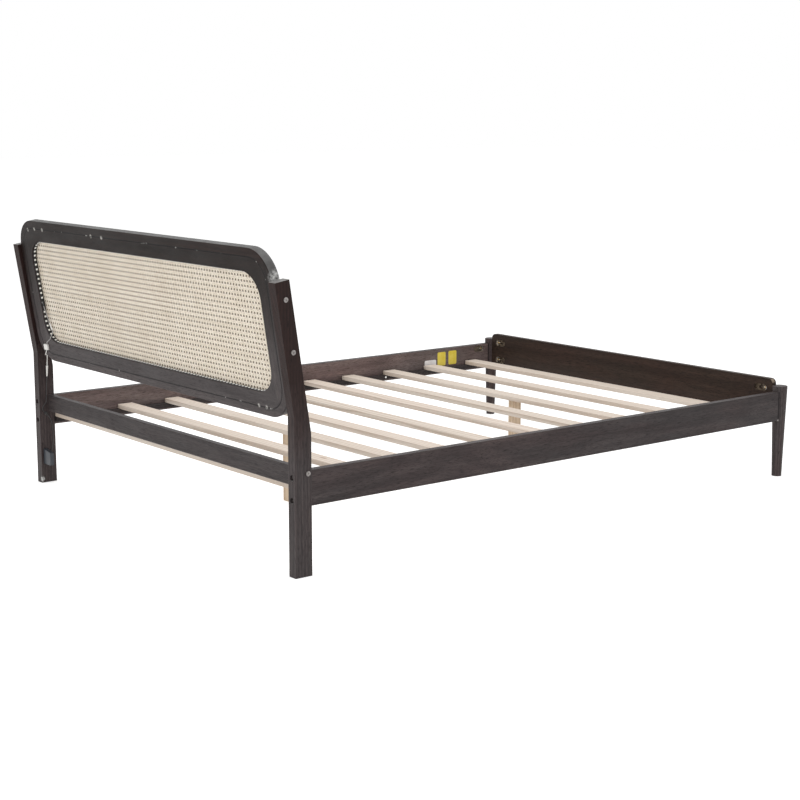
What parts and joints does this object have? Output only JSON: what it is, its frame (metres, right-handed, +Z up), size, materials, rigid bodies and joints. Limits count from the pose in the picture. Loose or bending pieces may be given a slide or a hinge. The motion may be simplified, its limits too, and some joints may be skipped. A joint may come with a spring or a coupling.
{
  "type": "platform bed",
  "caption": "Queen platform bed with a leaning cane headboard in a rounded frame, low rails, loose pine slats and tapered foot legs.",
  "frame": {"origin": "middle of the bed on the floor", "axes": "+X across the bed to the sleeper's left seen from the foot, +Y along the bed to the headboard, +Z up; the foot end faces -Y"},
  "size_m": [1.6178, 2.237, 0.9433],
  "materials": {
    "espresso_wood": "satin dark espresso stain over solid wood",
    "pine": "bare sanded pine",
    "cane": "natural woven cane webbing",
    "zinc_steel": "zinc plated, slightly worn",
    "brass": "yellow zinc or brass",
    "grey_cable": "grey cable sheath",
    "black_plastic": "soft black",
    "white_plastic": "satin white",
    "slate_plastic": "dark slate moulded case"
  },
  "bodies": {
    "root": {"head_post_left": "espresso_wood", "head_post_right": "espresso_wood", "headboard_top_rail": "espresso_wood", "headboard_bottom_rail": "espresso_wood", "headboard_stile_left": "espresso_wood", "headboard_stile_right": "espresso_wood", "head_rail": "espresso_wood", "side_rail_left": "espresso_wood", "side_rail_right": "espresso_wood", "slat_ledge_left": "espresso_wood", "slat_ledge_right": "espresso_wood", "footboard": "espresso_wood", "foot_leg_left": "espresso_wood", "foot_leg_right": "espresso_wood", "cane_retainer_top": "espresso_wood", "cane_retainer_bottom": "espresso_wood", "cane_retainer_left": "espresso_wood", "cane_retainer_right": "espresso_wood", "slat_01": "pine", "slat_02": "pine", "slat_03": "pine", "slat_04": "pine", "slat_05": "pine", "slat_06": "pine", "slat_07": "pine", "slat_08": "pine", "slat_09": "pine", "slat_10": "pine", "centre_leg_head": "pine", "centre_leg_foot": "pine", "dowels": "pine", "cane_panel": "cane", "headboard_bolts": "zinc_steel", "head_rail_bolts": "zinc_steel", "side_rail_bolts": "zinc_steel", "leg_studs": "zinc_steel", "half_moon_washers": "zinc_steel", "ledge_screws": "zinc_steel", "centre_leg_screws": "zinc_steel", "pocket_nuts": "brass", "threaded_inserts": "brass", "light_strip": "black_plastic", "lead_bead": "black_plastic", "cable_clip": "black_plastic", "lead_upper": "grey_cable", "lead_lower": "grey_cable", "control_cable": "grey_cable", "lead_sleeve": "white_plastic", "lead_connector": "white_plastic", "post_lead": "white_plastic", "lead_plug": "white_plastic", "control_box": "slate_plastic"}
  },
  "joints": []
}
